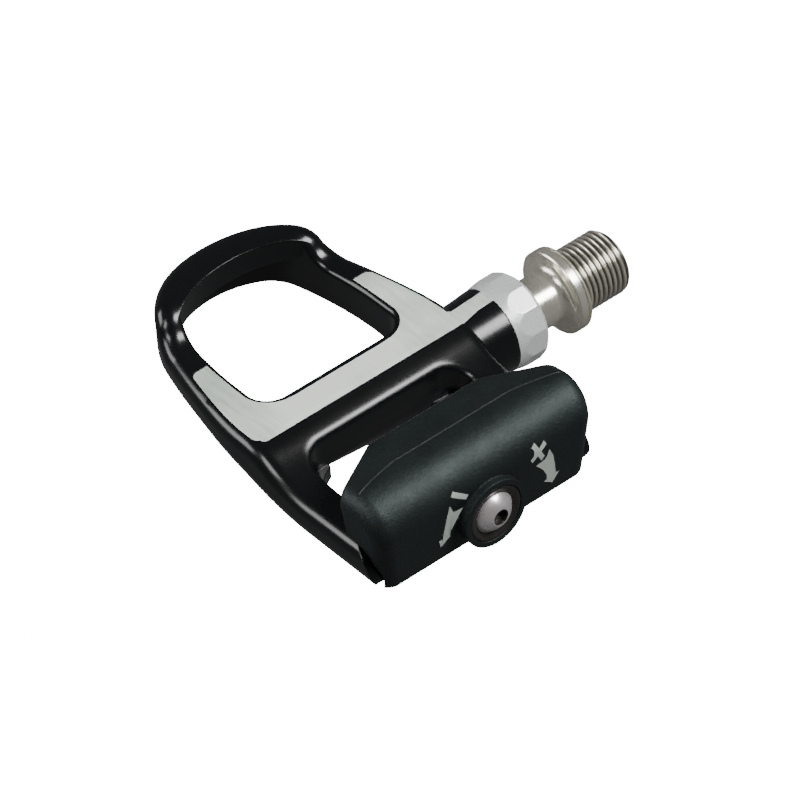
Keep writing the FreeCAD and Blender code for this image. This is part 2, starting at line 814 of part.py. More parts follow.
def make_pedal_body():
    body = new_body("pedal_body")
    wide = s.arm_half_width + s.cut_margin

    side = new_sketch(body, "side_outline", "YZ_Plane", mid)
    draw_outline(side, side_profile())
    extrude(body, "Pad", "casting", side, wide * 2, both=True)

    plan = new_sketch(body, "plan_trim_outline", "XY_Plane")
    draw_outline(plan, plan_outline())
    draw_box(plan, mid - wide, hinge_y - s.arm_end_radius * 3, mid + wide, s.toe_y + wide)
    extrude(body, "Pocket", "plan_trim", plan, both=True)

    def on_rim(edge):
        return not runs_along(edge, 0) and not runs_along(edge, 2)

    round_edges(body, "outer_rounding", s.edge_radius,
                lambda edge: on_rim(edge) and middle(edge).z > s.loop_bottom.value + 1)
    round_edges(body, "under_rounding", s.under_radius,
                lambda edge: on_rim(edge) and middle(edge).z < s.loop_bottom.value + 0.1)

    window = new_sketch(body, "window_sketch", "XY_Plane", -s.bar_bottom)
    draw_outline(window, window_outline(s.window_corner))
    extrude(body, "Pocket", "window", window, s.lip_top * 2, back=True)

    def on_window(edge):
        spot = middle(edge)
        inside = abs(spot.x - mid.value) < s.window_half_width.value + 0.01
        return inside and spot.y < 0 and spot.z > 0 and not runs_along(edge, 2)

    round_edges(body, "window_rim", s.window_rim_radius, on_window)

    web = new_sketch(body, "web_outline", "XY_Plane")
    draw_outline(web, window_outline(s.window_web))
    extrude(body, "Pocket", "window_below", web, both=True)

    mouth = new_sketch(body, "toe_mouth_outline", "XY_Plane")
    draw_outline(mouth, mouth_outline())
    extrude(body, "Pocket", "toe_mouth", mouth, both=True)

    def on_opening(edge):
        spot = middle(edge)
        inside = abs(spot.x - mid.value) < s.opening_half_width.value + 0.01
        ahead = spot.y - s.opening_bar_y.value
        along_bar = runs_along(edge, 0) and abs(ahead) < 0.01
        along_side = on_rim(edge) and -0.01 < ahead and spot.y < s.hook_end_y.value - 0.1
        return inside and (along_bar or along_side) and spot.z > s.deck_blank.value - 0.01

    round_edges(body, "opening_rim", s.opening_rim_radius, on_opening)

    recess = new_sketch(body, "toe_recess_outline", "XY_Plane", s.lip_underside)
    draw_outline(recess, recess_outline())
    extrude(body, "Pocket", "toe_recess", recess)

    relief = new_sketch(body, "bar_relief_outline", "XY_Plane", -s.bar_bottom)
    draw_box(relief, mid - s.relief_half_width, -s.window_front_y - s.cut_margin,
             mid + s.relief_half_width, s.opening_bar_y + s.cut_margin)
    extrude(body, "Pocket", "bar_relief", relief)

    heel = new_sketch(body, "heel_sketch", "YZ_Plane", mid)
    draw_outline(heel, heel_outline())
    extrude(body, "Pocket", "heel", heel, wide * 2, both=True)

    spin(body, "Revolution", "barrel", [
        (barrel_end, 0),
        (barrel_end, s.barrel_radius),
        (mid - s.barrel_taper_end, s.barrel_small_radius),
        (mid - s.barrel_boss_end, s.barrel_small_radius),
        (mid - s.barrel_boss_end, 0),
    ])

    deck = new_sketch(body, "deck_outline", "XY_Plane", s.deck_top)
    draw_box(deck, mid - wide, hinge_y, barrel_end + s.cut_margin, s.deck_milled_y)
    extrude(body, "Pocket", "deck_milling", deck, s.lip_top, back=True)

    sleeve_bore = s.collar_sleeve_radius + s.bore_play
    bearing_bore = s.bearing_radius + s.bore_play
    needle_bore = s.needle_shell_radius + s.bore_play
    blind = needle_end - s.needle_lip_width * 2
    spin(body, "Groove", "bore", [
        (barrel_end, 0),
        (barrel_end, sleeve_bore),
        (sleeve_end, sleeve_bore),
        (sleeve_end, bearing_bore),
        (bearing_end, bearing_bore),
        (bearing_end, needle_bore),
        (blind, needle_bore),
        (blind, 0),
    ])

    pin = new_sketch(body, "pin_hole_outline", "YZ_Plane", mid + s.arm_half_width)
    draw_circle(pin, hinge_y, hinge_z, s.pin_radius + s.bore_play)
    extrude(body, "Pocket", "pin_hole", pin, s.arm_half_width * 2 - s.pin_blind_wall)

    tang = new_sketch(body, "tang_hole_outline", "YZ_Plane", mid)
    draw_circle(tang, hinge_y + s.coil_radius, hinge_z, s.wire_radius + s.pin_play)
    extrude(body, "Pocket", "tang_holes", tang, (s.window_half_width + s.tang_depth) * 2, both=True)
    return body


# Rear claw: a moulded hook with end blocks over the arms, hinge lugs and a ring for the screw

def claw_profile():
    """The claw seen from the crank side, as (y, z) corners from its front edge backwards."""
    reach = s.arm_end_radius + s.claw_gap
    rest = hinge_z + reach
    drop = s.claw_foot_z + hinge_z
    heel = hinge_y - (reach * reach - drop * drop).root()
    return [
        (-s.claw_front_y, s.claw_front_z),
        (-s.claw_crest_y, s.claw_crest_z),
        (-s.claw_foot_y, -s.claw_foot_z),
        (heel, -s.claw_foot_z, -reach),
        (hinge_y - reach, hinge_z, -reach),
        (hinge_y, rest),
        (-s.claw_wall_y, rest),
        (-s.claw_wall_y, s.claw_nose_bottom),
        (-s.claw_front_y - s.claw_gap, s.claw_nose_bottom + s.claw_gap),
    ]


def make_rear_claw():
    body = new_body("rear_claw")
    side = new_sketch(body, "claw_side_outline", "YZ_Plane", mid)
    draw_outline(side, claw_profile())
    wide = s.claw_half_width + s.claw_foot_half_width
    extrude(body, "Pad", "claw_block", side, wide * 2, both=True)

    nose = new_sketch(body, "nose_trim_outline", "XY_Plane")
    ends = new_sketch(body, "end_taper_outline", "XZ_Plane")
    ahead = -s.claw_front_y + s.cut_margin
    spread = (s.claw_half_width - s.claw_nose_half_width) / (s.claw_end_y - s.claw_front_y)
    trim_end = -s.claw_front_y - (wide + s.cut_margin - s.claw_nose_half_width) / spread
    above = s.claw_crest_z + s.cut_margin
    below = -s.claw_foot_z - s.cut_margin
    for sign in (-1, 1):
        nose_side = mid + s.claw_nose_half_width * sign
        end_side = mid + s.claw_half_width * sign
        foot_side = mid + s.claw_foot_half_width * sign
        outside = mid + (wide + s.cut_margin) * sign
        draw_outline(nose, [
            (nose_side, -s.claw_front_y),
            (outside, trim_end),
            (outside, ahead),
            (nose_side, ahead),
        ])
        draw_outline(ends, [
            (end_side, s.claw_crest_z),
            (foot_side, -s.claw_foot_z),
            (foot_side, below),
            (outside, below),
            (outside, above),
            (end_side, above),
        ])
    extrude(body, "Pocket", "nose_trim", nose, both=True)
    extrude(body, "Pocket", "end_taper", ends, both=True)

    round_edges(body, "crest_rounding", s.claw_crest_radius,
                lambda edge: runs_along(edge, 0) and middle(edge).z > s.claw_crest_z.value - 0.1)

    flare = (s.claw_half_width - s.claw_foot_half_width) / (s.claw_crest_z + s.claw_foot_z)

    def on_end(edge):
        spot = middle(edge)
        side = s.claw_foot_half_width.value + (spot.z + s.claw_foot_z.value) * flare.value
        at_end = abs(abs(spot.x - mid.value) - side) < 0.05
        outside = spot.z > s.claw_nose_bottom.value or spot.y < -s.claw_foot_y.value
        return at_end and outside and spot.y < -s.claw_wall_y.value - 0.1

    round_edges(body, "end_rounding", s.claw_end_radius, on_end)

    def on_front(edge):
        spot = middle(edge)
        side = s.claw_nose_half_width.value - (s.claw_front_y.value + spot.y) * spread.value
        trimmed = abs(abs(spot.x - mid.value) - side) < 0.03
        nose = runs_along(edge, 0) and abs(spot.y + s.claw_front_y.value) < 0.01
        return (trimmed or nose) and spot.z > (s.claw_nose_bottom + s.claw_gap * 2).value

    round_edges(body, "front_rounding", s.claw_front_radius, on_front)

    def on_foot(edge):
        spot = middle(edge)
        return spot.z < 0.01 - s.claw_foot_z.value and spot.y < 0.6 - s.claw_foot_y.value

    round_edges(body, "foot_rounding", s.claw_foot_radius, on_foot)

    lean = (s.claw_crest_y - s.claw_foot_y) / (s.claw_crest_z + s.claw_foot_z)
    roof = s.claw_nose_bottom
    floor = below
    foot_inside = -s.claw_foot_y + s.claw_wall
    cavity = new_sketch(body, "cavity_outline", "YZ_Plane", mid)
    draw_outline(cavity, [
        (-s.claw_wall_y + s.cut_margin, roof),
        (foot_inside - lean * (roof + s.claw_foot_z), roof),
        (foot_inside - lean * (floor + s.claw_foot_z), floor),
        (-s.claw_wall_y + s.cut_margin, floor),
    ])
    extrude(body, "Pocket", "cavity", cavity, s.cavity_half_width * 2, both=True)

    lug_root = -s.claw_foot_y + s.claw_wall / 2
    for name, place in (("lug_inboard", mid + s.lug_inner), ("lug_outboard", mid - s.lug_outer)):
        lug = new_sketch(body, f"{name}_outline", "YZ_Plane", place)
        draw_outline(lug, [
            (lug_root, hinge_z + s.lug_radius),
            (lug_root, hinge_z - s.lug_radius),
            (hinge_y, hinge_z - s.lug_radius, s.lug_radius),
            (hinge_y + s.lug_radius, hinge_z, s.lug_radius),
            (hinge_y, hinge_z + s.lug_radius),
        ])
        extrude(body, "Pad", name, lug, s.lug_outer - s.lug_inner)

    pin = new_sketch(body, "lug_hole_outline", "YZ_Plane", mid)
    draw_circle(pin, hinge_y, hinge_z, s.pin_radius + s.pin_play)
    extrude(body, "Pocket", "lug_holes", pin, s.lug_outer * 2 + 1, both=True)

    boss_root = s.claw_foot_y - s.claw_wall / 2
    boss = new_sketch(body, "ring_boss_outline", "XZ_Plane", boss_root)
    draw_circle(boss, mid, s.screw_z, s.ring_boss_radius)
    extrude(body, "Pad", "ring_boss", boss, s.ring_boss_y - boss_root)

    recess = new_sketch(body, "ring_recess_outline", "XZ_Plane", s.ring_boss_y)
    draw_circle(recess, mid, s.screw_z, s.ring_recess_radius)
    extrude(body, "Pocket", "ring_recess", recess, s.ring_recess_depth)

    hole = new_sketch(body, "screw_hole_outline", "XZ_Plane", s.ring_boss_y)
    draw_circle(hole, mid, s.screw_z, s.screw_hole_radius)
    extrude(body, "Pocket", "screw_hole", hole, s.ring_boss_radius)
    return body


# Hinge pin: pressed through the inboard arm into a blind hole in the outboard one

def make_hinge_pin():
    body = new_body("hinge_pin")
    outline = new_sketch(body, "pin_outline", "YZ_Plane",
                         mid - s.arm_half_width + s.pin_blind_wall + 0.1)
    draw_circle(outline, hinge_y, hinge_z, s.pin_radius)
    extrude(body, "Pad", "pin", outline, s.pin_length)
    return body


# Torsion springs: a coil on the pin, a leg behind the plate and a tang in the arm

def make_claw_spring(name, side):
    body = new_body(name)
    start = mid + coil_start * side
    end = start + s.coil_height * side
    rear = hinge_y - s.coil_radius

    wire = new_sketch(body, f"{name}_wire", "XY_Plane", hinge_z)
    draw_axis(wire, start, end, hinge_y)
    draw_circle(wire, start, rear, s.wire_radius)
    coil = body.newObject("PartDesign::AdditiveHelix", f"{name}_coil")
    coil.Profile = wire
    coil.ReferenceAxis = (wire, ["Axis0"])
    coil.Mode = 0
    bind(coil, "Pitch", s.coil_pitch)
    bind(coil, "Height", s.coil_height)
    coil.LeftHanded = side < 0

    leg = new_sketch(body, f"{name}_leg_outline", "XY_Plane", hinge_z)
    draw_circle(leg, start, rear, s.wire_radius)
    extrude(body, "Pad", f"{name}_leg", leg, s.spring_leg_top - hinge_z)

    tang_start = end - s.coil_gap * side
    tang_end = mid + (s.window_half_width + s.tang_depth) * side
    tang = new_sketch(body, f"{name}_tang_outline", "YZ_Plane", tang_start)
    draw_circle(tang, hinge_y + s.coil_radius, hinge_z, s.wire_radius)
    extrude(body, "Pad", f"{name}_tang", tang, (tang_end - tang_start) * side, back=side < 0)
    return body


def make_claw_springs():
    return [make_claw_spring("claw_spring_inboard", 1), make_claw_spring("claw_spring_outboard", -1)]


# Tension screw: a button head with a hex socket on a plain shank for the thread

def make_tension_screw():
    body = new_body("tension_screw")
    under = cup_face - s.head_play
    dome = bulge(s.head_radius, s.head_height)
    spin_at_screw(body, "screw_turned", [
        (-s.screw_tip_y, as_size(0)),
        (-s.screw_tip_y, s.screw_radius),
        (under, s.screw_radius),
        (under, s.head_radius, -dome),
        (under - s.head_height, as_size(0)),
    ])
    socket = new_sketch(body, "socket_outline", "XZ_Plane", s.head_height - under)
    draw_regular(socket, 6, s.socket_half_width, mid, s.screw_z)
    extrude(body, "Pocket", "socket", socket, s.socket_depth)
    return body


# Cup washer: the bright dished ring round the screw's head

def make_screw_cup_washer():
    body = new_body("screw_cup_washer")
    rim = s.cup_radius - s.cup_rim
    spin_at_screw(body, "cup_pressed", [
        (recess_floor, s.screw_hole_radius),
        (cup_face, s.screw_hole_radius),
        (cup_face, s.head_radius + s.cup_rim / 2),
        (cup_face - s.cup_rim, rim),
        (cup_face - s.cup_rim, s.cup_radius),
        (recess_floor, s.cup_radius),
    ])
    return body


# Square nut on the screw, and the plate on it that the springs press

def make_tension_nut():
    body = new_body("tension_nut")
    outline = new_sketch(body, "nut_outline", "XZ_Plane", s.nut_y)
    draw_box(outline, mid - s.nut_half_width, -s.nut_bottom, mid + s.nut_half_width, s.nut_top)
    draw_circle(outline, mid, s.screw_z, s.screw_radius + s.nut_play)
    extrude(body, "Pad", "nut", outline, s.nut_thickness)
    return body


def make_spring_plate():
    body = new_body("spring_plate")
    tab = s.nut_half_width - 0.1
    outline = new_sketch(body, "plate_outline", "XZ_Plane", -plate_y)
    draw_outline(outline, [
        (mid - s.plate_half_width, s.plate_wing_z),
        (mid - tab, s.plate_wing_z),
        (mid - tab, -s.nut_bottom),
        (mid + tab, -s.nut_bottom),
        (mid + tab, s.plate_wing_z),
        (mid + s.plate_half_width, s.plate_wing_z),
        (mid + s.plate_half_width, s.plate_top),
        (mid - s.plate_half_width, s.plate_top),
    ])
    draw_circle(outline, mid, s.screw_z, s.screw_hole_radius)
    extrude(body, "Pad", "plate", outline, s.plate_thickness)
    return body


builders = [
    make_axle, make_collar_nut, make_lip_seal, make_ball_bearing, make_retaining_ring,
    make_needle_shell, make_needle_rollers, make_needle_cage, make_pedal_body, make_rear_claw,
    make_hinge_pin, make_claw_springs, make_tension_screw, make_screw_cup_washer,
    make_tension_nut, make_spring_plate,
]
pieces = []
for builder in builders:
    made = builder()
    pieces.extend(made if isinstance(made, list) else [made])
doc.recompute()

# Every object has to be sound before anything is written
broken = [o.Name for o in doc.Objects if "Invalid" in o.State or "Error" in o.State]
broken += [p.Label for p in pieces if p.Shape.isNull() or not p.Shape.isValid()]
if broken:
    raise RuntimeError(f"these objects failed: {broken}")

os.makedirs("parts", exist_ok=True)
for piece in pieces:
    piece.Shape.exportStep(f"parts/{piece.Label}.step")
    print(f"{piece.Label}: {len(piece.Shape.Solids)} solid, {piece.Shape.Volume:.1f} mm3")
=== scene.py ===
import json
import math

import bmesh
import bpy
from mathutils import Matrix, Vector
from mathutils.bvhtree import BVHTree


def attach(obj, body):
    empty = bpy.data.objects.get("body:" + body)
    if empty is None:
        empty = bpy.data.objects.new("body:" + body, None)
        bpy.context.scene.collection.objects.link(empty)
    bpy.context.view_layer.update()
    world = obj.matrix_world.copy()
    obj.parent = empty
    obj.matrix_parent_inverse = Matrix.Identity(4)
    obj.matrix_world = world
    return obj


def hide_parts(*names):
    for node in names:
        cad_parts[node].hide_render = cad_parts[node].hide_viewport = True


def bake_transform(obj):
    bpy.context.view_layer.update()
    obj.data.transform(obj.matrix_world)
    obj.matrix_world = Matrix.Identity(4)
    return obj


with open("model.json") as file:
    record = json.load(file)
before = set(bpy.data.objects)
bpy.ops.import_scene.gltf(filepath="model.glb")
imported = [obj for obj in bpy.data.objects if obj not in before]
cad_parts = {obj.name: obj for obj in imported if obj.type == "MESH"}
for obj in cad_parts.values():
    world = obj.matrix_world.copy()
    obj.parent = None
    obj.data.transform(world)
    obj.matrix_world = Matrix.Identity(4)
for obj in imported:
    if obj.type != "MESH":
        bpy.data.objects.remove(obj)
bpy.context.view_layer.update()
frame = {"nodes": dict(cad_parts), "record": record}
nodes = frame["nodes"]

MM = 0.001
FULL_TURN = 2 * math.pi

# Places taken from the part
MID_X = -54.2 * MM
DECK_Z = 9.11 * MM
SCREW_Z = 1.3 * MM

# Crank thread: 9/16 inch by 20 threads per inch, left-hand
THREAD_RADIUS = 7.144 * MM
THREAD_DEPTH = 0.72 * MM
THREAD_PITCH = 1.27 * MM
THREAD_LENGTH = 12.4 * MM
THREAD_CHAMFER = 0.9 * MM
# How much of half a pitch its flat root and its flank take
THREAD_ROOT = 0.12
THREAD_FLANK = 0.72

# Axle profile as (x, radius) in millimetres: the groove round the flange, and the inner end
FLANGE_GROOVE = ((-0.3, 9.3), (-0.58, 9.3), (-0.62, 8.95), (-0.98, 8.95), (-1.02, 9.3))
INNER_AXLE = ((-25.2, 5.7), (-25.2, 4.0), (-28.72, 4.0), (-28.72, 3.7), (-29.54, 3.7),
              (-29.54, 4.0), (-31.14, 4.0), (-64.2, 3.0), (-73.2, 3.0), (-73.7, 2.5))


# Meshes

def mesh_object(name, verts, faces, smooth_angle=35):
    """A new mesh object, smooth except across edges sharper than the angle."""
    mesh = bpy.data.meshes.new(name)
    mesh.from_pydata(verts, [], faces)
    mesh.validate()
    obj = bpy.data.objects.new(name, mesh)
    bpy.context.collection.objects.link(obj)
    mesh.shade_smooth()
    mesh.set_sharp_from_angle(angle=math.radians(smooth_angle))
    return obj


def revolve_about_x(rings, steps):
    """Verts and faces of a closed surface turned about the X axis.

    Each ring is a function of the angle that gives (x, radius). The rings run from the +X end.
    """
    verts = []
    faces = []
    for ring in rings:
        for k in range(steps):
            angle = FULL_TURN * k / steps
            x, radius = ring(angle)
            verts.append((x, radius * math.cos(angle), radius * math.sin(angle)))
    for row in range(len(rings) - 1):
        for k in range(steps):
            a = row * steps + k
            b = row * steps + (k + 1) % steps
            faces.append((a, a + steps, b + steps, b))
    faces.append(tuple(range(steps)))
    last = (len(rings) - 1) * steps
    faces.append(tuple(range(last, last + steps))[::-1])
    return verts, faces


def sweep_tube(path, radius, sides=14):
    """Verts and faces of a closed tube along a path of (centre, direction, side) vectors."""
    verts = []
    faces = []
    for centre, direction, side in path:
        other = direction.cross(side)
        for k in range(sides):
            angle = FULL_TURN * k / sides
            verts.append(centre + (side * math.cos(angle) + other * math.sin(angle)) * radius)
    for row in range(len(path) - 1):
        for k in range(sides):
            a = row * sides + k
            b = row * sides + (k + 1) % sides
            faces.append((a, b, b + sides, a + sides))
    faces.append(tuple(range(sides))[::-1])
    last = (len(path) - 1) * sides
    faces.append(tuple(range(last, last + sides)))
    return verts, faces


def plain_ring(x, radius):
    return lambda angle: (x, radius)


def profile_rings(profile):
    """Plain rings from (x, radius) in millimetres."""
    return [plain_ring(x * MM, radius * MM) for x, radius in profile]


def thread_ring(x, limit):
    """A ring through the crank thread: a vee with flat roots that winds left-handed."""
    def ring(angle):
        turn = (x / THREAD_PITCH + angle / FULL_TURN) % 1.0
        height = abs(turn - 0.5) * 2
        flank = min(max((height - THREAD_ROOT) / THREAD_FLANK, 0.0), 1.0)
        radius = THREAD_RADIUS - THREAD_DEPTH * (1 - flank)
        return x, min(radius, limit)
    return ring


# Material nodes

def new_material(name):
    """A new material, with its node tree and its shader."""
    material = bpy.data.materials.new(name)
    material.use_nodes = True
    tree = material.node_tree
    return material, tree, tree.nodes["Principled BSDF"]


def add_node(tree, kind, inputs=None, **settings):
    """A new node with its settings, and with a value or a link at each input named."""
    node = tree.nodes.new(kind)
    for key, value in settings.items():
        setattr(node, key, value)
    for key, value in (inputs or {}).items():
        if isinstance(value, bpy.types.NodeSocket):
            tree.links.new(value, node.inputs[key])
        else:
            node.inputs[key].default_value = value
    return node


def place(tree, stretch=(1, 1, 1)):
    """Object coordinates, stretched along the axes."""
    coordinates = add_node(tree, "ShaderNodeTexCoord")
    mapping = add_node(tree, "ShaderNodeMapping",
                       {"Vector": coordinates.outputs["Object"], "Scale": stretch})
    return mapping.outputs["Vector"]


def object_axes(tree):
    """X, Y and Z in object coordinates."""
    spot = add_node(tree, "ShaderNodeTexCoord")
    axes = add_node(tree, "ShaderNodeSeparateXYZ", {"Vector": spot.outputs["Object"]})
    return [axes.outputs[axis] for axis in "XYZ"]


def noise(tree, scale, detail=3.0, roughness=0.5, stretch=(1, 1, 1)):
    node = add_node(tree, "ShaderNodeTexNoise", {
        "Vector": place(tree, stretch), "Scale": scale, "Detail": detail,
        "Roughness": roughness})
    return node.outputs["Fac"]


def spread(tree, value, low, high, low_in=0.3, high_in=0.7):
    """A value carried from one range to another."""
    node = add_node(tree, "ShaderNodeMapRange", {
        "Value": value, "From Min": low_in, "From Max": high_in, "To Min": low, "To Max": high})
    return node.outputs["Result"]


def mix_colour(tree, factor, first, second):
    """Two colours mixed, through the Mix node's sockets for colours."""
    node = add_node(tree, "ShaderNodeMix", {0: factor, 6: first, 7: second}, data_type="RGBA")
    return node.outputs[2]


def mix_value(tree, factor, first, second):
    """Two values mixed, through the Mix node's sockets for values."""
    node = add_node(tree, "ShaderNodeMix", {0: factor, 2: first, 3: second}, data_type="FLOAT")
    return node.outputs[0]


def math_node(tree, operation, first, second=0.5):
    node = add_node(tree, "ShaderNodeMath", {0: first, 1: second}, operation=operation)
    return node.outputs[0]


def plus(tree, first, second):
    return math_node(tree, "ADD", first, second)


def minus(tree, first, second):
    return math_node(tree, "SUBTRACT", first, second)


def times(tree, product, *factors):
    """A product. Of masks, it is 1 where they all are."""
    for factor in factors:
        product = math_node(tree, "MULTIPLY", product, factor)
    return product


def larger(tree, first, second):
    """The larger of two values. Of masks, it is 1 where either is."""
    return math_node(tree, "MAXIMUM", first, second)


def over(tree, value, limit):
    """1 where a value is over a limit."""
    return math_node(tree, "GREATER_THAN", value, limit)


def under(tree, value, limit):
    """1 where a value is under a limit."""
    return math_node(tree, "LESS_THAN", value, limit)


def within(tree, value, low, high):
    """1 where a value lies between two limits."""
    return times(tree, over(tree, value, low), under(tree, value, high))


def squares(tree, first, second):
    """The sum of two values' squares."""
    return plus(tree, times(tree, first, first), times(tree, second, second))


def distance(tree, first, second):
    return math_node(tree, "SQRT", squares(tree, first, second))


def bump(tree, shader, height, strength, depth, edge_radius=0.25 * MM):
    """Fine relief, over edges that are softened a little."""
    softened = add_node(tree, "ShaderNodeBevel", {"Radius": edge_radius}, samples=8)
    node = add_node(tree, "ShaderNodeBump", {
        "Height": height, "Strength": strength, "Distance": depth,
        "Normal": softened.outputs["Normal"]})
    tree.links.new(node.outputs["Normal"], shader.inputs["Normal"])


# Where the body is bare or blended. Across is from the part's middle, aside is across without
# its sign, and ahead is towards the toe.

DECK_REAR = -2.6 * MM


def past_corner(tree, out, ahead, radius):
    """1 outside a rounded corner, from how far out and ahead of the rounding's centre it is."""
    beyond = over(tree, squares(tree, larger(tree, out, 0.0), ahead), radius * radius)
    return times(tree, beyond, over(tree, ahead, 0.0))


def past_front_corners(tree, aside, y):
    """1 outside the rounded corners at the deck's two front ends."""
    front = 22.6 * MM
    outer_side = 22.82 * MM
    outer_round = 1.3 * MM
    outer_lean = 0.25
    inner_side = 18.41 * MM
    inner_round = 0.8 * MM
    lean = times(tree, minus(tree, y, front), outer_lean)
    outward = minus(tree, plus(tree, aside, lean), outer_side - outer_round)
    outer = past_corner(tree, outward, minus(tree, y, front - outer_round), outer_round)
    inward = minus(tree, inner_side + inner_round, aside)
    inner = past_corner(tree, inward, minus(tree, y, front - inner_round), inner_round)
    return larger(tree, outer, inner)


def ahead_of_rear_edge(tree, across, y):
    """1 ahead of the bare metal's rear edge, which bends forward to the collar."""
    strip_rear = -1.65 * MM
    bend_start = 25 * MM
    bend_end = 31 * MM
    return over(tree, y, spread(tree, across, DECK_REAR, strip_rear, bend_start, bend_end))


def deck_brow(tree, across, y, z, upward):
    """1 where the cut runs on a little over the brow behind the flat."""
    front = -0.4 * MM
    outer_side = -25.1 * MM
    inner_side = 29 * MM
    lowest = 8.75 * MM
    steepest = 0.75
    corner_side = -23.7 * MM
    corner_round = 1.4 * MM
    corner = past_corner(tree, minus(tree, corner_side, across),
                         minus(tree, DECK_REAR + corner_round, y), corner_round)
    return times(tree, ahead_of_rear_edge(tree, across, y), under(tree, y, front),
                 within(tree, across, outer_side, inner_side), over(tree, z, lowest),
                 over(tree, upward, steepest), minus(tree, 1.0, corner))


def clear_of_toe_opening(tree, aside, y):
    """1 outside the painted edge round the toe opening, which is widest along the bar."""
    corner_side = 12.95 * MM
    corner_y = 10.7 * MM
    corner_round = 5.85 * MM
    side_bow = 2.75
    bar_margin = 0.9 * MM
    side_margin = 0.4 * MM
    bar_side = 11 * MM
    arm_side = 17 * MM
    ahead = larger(tree, minus(tree, y, corner_y), 0.0)
    bow = times(tree, ahead, ahead, side_bow)
    outward = larger(tree, plus(tree, minus(tree, aside, corner_side), bow), 0.0)
    behind = larger(tree, minus(tree, corner_y, y), 0.0)
    gap = minus(tree, distance(tree, outward, behind), corner_round)
    return over(tree, gap, spread(tree, aside, bar_margin, side_margin, bar_side, arm_side))


def barrel_strip(tree, across, y, z):
    """1 on the strip along the barrel's top, from the deck to the collar."""
    start = 24 * MM
    end = 36 * MM
    front = 2.1 * MM
    lowest = 8.4 * MM
    return times(tree, within(tree, across, start, end), ahead_of_rear_edge(tree, across, y),
                 under(tree, y, front), over(tree, z, lowest))


def deck_mask(tree):
    """1 on the milled deck: the flat, the brow behind it, and the strip to the collar."""
    level_slack = 0.03 * MM
    level_upward = 0.999
    flat_end = 28 * MM
    # The normal turns with the body, as the coordinates do
    geometry = add_node(tree, "ShaderNodeNewGeometry")
    turned = add_node(tree, "ShaderNodeVectorTransform",
                      {"Vector": geometry.outputs["True Normal"]},
                      vector_type="NORMAL", convert_from="WORLD", convert_to="OBJECT")
    normal = add_node(tree, "ShaderNodeSeparateXYZ", {"Vector": turned.outputs["Vector"]})
    upward = normal.outputs["Z"]
    x, y, z = object_axes(tree)
    across = minus(tree, x, MID_X)
    aside = math_node(tree, "ABSOLUTE", across)

    flat = times(tree, within(tree, z, DECK_Z - level_slack, DECK_Z + level_slack),
                 over(tree, upward, level_upward),
                 minus(tree, 1.0, past_front_corners(tree, aside, y)),
                 under(tree, across, flat_end))
    top = larger(tree, flat, deck_brow(tree, across, y, z, upward))
    top = times(tree, top, clear_of_toe_opening(tree, aside, y))
    return larger(tree, top, barrel_strip(tree, across, y, z))


def rear_slope(tree):
    """1 on the slope behind the deck, where the barrel runs into it and the casting is blended."""
    rear = -8.2 * MM
    front = -2.7 * MM
    outer_side = MID_X - 26 * MM
    inner_side = MID_X + 27 * MM
    lowest = 2 * MM
    x, y, z = object_axes(tree)
    return times(tree, within(tree, y, rear, front), within(tree, x, outer_side, inner_side),
                 over(tree, z, lowest))


# Materials

def painted_body():
    """Black satin paint on a casting, with the top milled to bare metal."""
    material, tree, shader = new_material("body_paint")
    mask = deck_mask(tree)
    cloud = noise(tree, 60)
    patches = noise(tree, 42, detail=1)
    streaks = noise(tree, 900, detail=5, roughness=0.6, stretch=(1, 0.12, 1))
    peel = noise(tree, 700, detail=2)

    paint = mix_colour(tree, cloud, (0.0035, 0.0045, 0.005, 1), (0.0055, 0.0065, 0.007, 1))
    paint_rough = spread(tree, cloud, 0.19, 0.24)

    # The bare metal is streaked and patchy, with painted shade: lighter near the bar and darker
    # towards the toe
    patch_share = 0.6
    fine_share = 0.4
    bare_metallic = 0.1
    fine = plus(tree, times(tree, streaks, 0.5), times(tree, cloud, 0.5))
    tone = plus(tree, times(tree, fine, fine_share), times(tree, patches, patch_share))
    _, y, _ = object_axes(tree)
    # Painted shade: the bare metal's colour is made lighter near the bar and darker towards the
    # toe
    painted_toe_shade = spread(tree, y, 0.06, -0.05, 2 * MM, 20 * MM)
    shade = spread(tree, plus(tree, tone, painted_toe_shade), 0, 1, 0.4, 0.6)
    bare = mix_colour(tree, shade, (0.52, 0.60, 0.53, 1), (0.95, 1.0, 0.93, 1))
    bare_rough = spread(tree, streaks, 0.38, 0.50)

    tree.links.new(mix_colour(tree, mask, paint, bare), shader.inputs["Base Color"])
    tree.links.new(times(tree, mask, bare_metallic), shader.inputs["Metallic"])
    tree.links.new(mix_value(tree, mask, paint_rough, bare_rough), shader.inputs["Roughness"])
    edge_radius = mix_value(tree, rear_slope(tree), 0.5 * MM, 1.8 * MM)
    bump(tree, shader, mix_value(tree, mask, peel, streaks), 0.05, 0.02 * MM, edge_radius)
    return material


def grained_plastic(name, colour, pale, roughness):
    """Moulded plastic or rubber with a fine grain."""
    rough_range = 0.04
    material, tree, shader = new_material(name)
    grain = noise(tree, 2000, roughness=0.6)
    cloud = noise(tree, 160)
    tree.links.new(mix_colour(tree, cloud, colour, pale), shader.inputs["Base Color"])
    tree.links.new(spread(tree, cloud, roughness - rough_range, roughness + rough_range),
                   shader.inputs["Roughness"])
    shader.inputs["Specular Tint"].default_value = (0.82, 1.0, 0.97, 1)
    bump(tree, shader, grain, 1.0, 0.12 * MM, 0.4 * MM)
    return material


